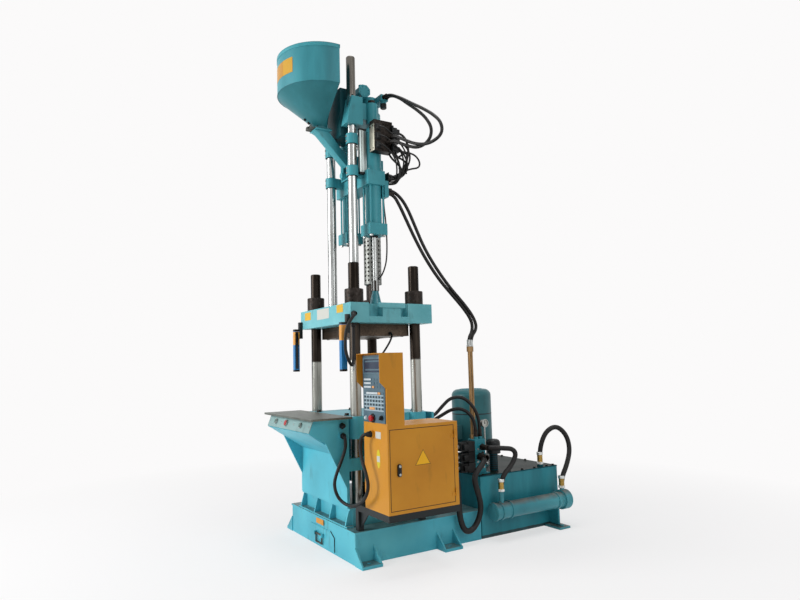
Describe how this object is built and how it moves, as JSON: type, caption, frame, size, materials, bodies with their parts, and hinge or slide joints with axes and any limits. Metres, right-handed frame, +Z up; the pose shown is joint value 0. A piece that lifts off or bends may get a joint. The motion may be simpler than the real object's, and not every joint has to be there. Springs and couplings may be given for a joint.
{
  "type": "vertical injection moulding machine",
  "caption": "Vertical injection moulding machine: upright plasticising unit on a tie-bar clamp over a table, with control cabinet, hopper and rear hydraulic oil unit.",
  "frame": {"origin": "on the floor, under the middle of the four tie bars", "axes": "+Z up along the tie bars and the injection axis, +X to the operator's right (control cabinet side), +Y to the rear (oil tank side)"},
  "size_m": [1.5963, 2.2167, 3.675],
  "materials": {
    "teal_paint": "semi-gloss",
    "yellow_paint": "semi-gloss",
    "bright_steel": "polished",
    "dark_steel": "oiled",
    "table_steel": "worn",
    "black_paint": "satin",
    "zinc_steel": "satin",
    "control_panel": "satin",
    "red_plastic": "gloss",
    "green_plastic": "gloss",
    "black_plastic": "satin",
    "gauge_metal": "polished",
    "curtain_blue": "satin",
    "hose_rubber": "satin"
  },
  "bodies": {
    "base": {"access_cover": "teal_paint", "base_frame": "teal_paint", "button_panel": "zinc_steel", "cabinet_conduit": "hose_rubber", "cabinet_frame": "black_paint", "cabinet_shell": "yellow_paint", "clamp_cylinder": "teal_paint", "control_face": "control_panel", "electric_motor": "teal_paint", "fixed_platen": "dark_steel", "front_housing": "teal_paint", "hydraulic_hoses": "hose_rubber", "oil_cooler": "teal_paint", "oil_tank": "teal_paint", "pedestal": "teal_paint", "pressure_gauge": "gauge_metal", "rear_housing": "teal_paint", "solenoid_valves": "black_paint", "steel_pipes": "zinc_steel", "supply_hoses_lower": "hose_rubber", "switchgear": "zinc_steel", "table_plate": "table_steel", "tank_lid": "black_paint", "tower_housing": "yellow_paint", "valve_manifold": "teal_paint"},
    "clamp_unit": {"upper_platen": "teal_paint", "mould_plate": "dark_steel", "tie_bars": "bright_steel", "tie_bar_nuts": "dark_steel", "clamp_crosshead": "dark_steel", "guide_rods": "bright_steel", "seat_rods": "bright_steel", "light_curtains": "curtain_blue", "platen_cables": "hose_rubber"},
    "injection_carriage": {"carriage": "teal_paint", "seat_cylinders": "teal_paint", "barrel": "zinc_steel", "barrel_guard": "zinc_steel", "hopper": "teal_paint", "hopper_lid": "teal_paint", "feed_chute": "teal_paint", "injection_cylinders": "teal_paint", "injection_manifold": "black_paint", "position_sensor": "zinc_steel", "motor_hoses": "hose_rubber", "heater_cable": "hose_rubber", "supply_hoses_upper": "hose_rubber"},
    "injection_crosshead": {"screw_crosshead": "teal_paint", "hydraulic_motor": "teal_paint"},
    "plasticising_screw": {"screw": "bright_steel"},
    "gate": {"hopper_gate": "zinc_steel"},
    "door": {"cabinet_door": "yellow_paint"},
    "lock": {"door_lock": "bright_steel"},
    "handle": {"access_handle": "bright_steel"},
    "start_left": {"start_button_left": "green_plastic"},
    "start_right": {"start_button_right": "green_plastic"},
    "stop": {"stop_button": "red_plastic"},
    "e_stop": {"emergency_stop": "red_plastic"},
    "selector": {"mode_selector": "black_plastic"},
    "needle": {"gauge_needle": "black_plastic"}
  },
  "joints": [
    {"name": "clamp_slide", "type": "slide", "parent": "base", "child": "clamp_unit", "axis": [0, 0, 1], "range_m": [-0.22, 0], "deforming": ["supply_hoses_lower", "platen_cables"]},
    {"name": "carriage_slide", "type": "slide", "parent": "clamp_unit", "child": "injection_carriage", "axis": [0, 0, 1], "range_m": [-0.18, 0], "deforming": ["supply_hoses_upper"]},
    {"name": "injection_slide", "type": "slide", "parent": "injection_carriage", "child": "injection_crosshead", "axis": [0, 0, 1], "range_m": [0, 0.2], "deforming": ["motor_hoses"]},
    {"name": "screw_turn", "type": "hinge", "parent": "injection_crosshead", "child": "plasticising_screw", "pos_m": [0, 0.09, 3], "axis": [0, 0, 1], "continuous": true},
    {"name": "gate_slide", "type": "slide", "parent": "injection_carriage", "child": "gate", "axis": [0, -1, 0], "range_m": [0, 0.06]},
    {"name": "door_hinge", "type": "hinge", "parent": "base", "child": "door", "pos_m": [0.936, 0.154, 0.65], "axis": [0, 0, 1], "range_deg": [0, 120]},
    {"name": "lock_turn", "type": "hinge", "parent": "door", "child": "lock", "pos_m": [0.929, -0.273, 0.647], "axis": [1, 0, 0], "range_deg": [0, 90]},
    {"name": "handle_hinge", "type": "hinge", "parent": "base", "child": "handle", "pos_m": [0, -0.402, 0.092], "axis": [1, 0, 0], "range_deg": [-80, 0]},
    {"name": "start_left_press", "type": "slide", "parent": "base", "child": "start_left", "axis": [0, 0.9314, -0.364], "range_m": [0, 0.004], "stiffness_N_per_m": 800},
    {"name": "start_right_press", "type": "slide", "parent": "base", "child": "start_right", "axis": [0, 0.9314, -0.364], "range_m": [0, 0.004], "stiffness_N_per_m": 800},
    {"name": "stop_press", "type": "slide", "parent": "base", "child": "stop", "axis": [0, 0.9314, -0.364], "range_m": [0, 0.004], "stiffness_N_per_m": 800},
    {"name": "emergency_stop_press", "type": "slide", "parent": "base", "child": "e_stop", "axis": [0, 1, 0], "range_m": [0, 0.006]},
    {"name": "selector_turn", "type": "hinge", "parent": "base", "child": "selector", "pos_m": [0.879, -0.36, 0.968], "axis": [0, 1, 0], "range_deg": [-45, 45]},
    {"name": "needle_turn", "type": "hinge", "parent": "base", "child": "needle", "pos_m": [0.455, 0.8, 0.826], "axis": [1, 0, 0], "range_deg": [-120, 120]}
  ]
}
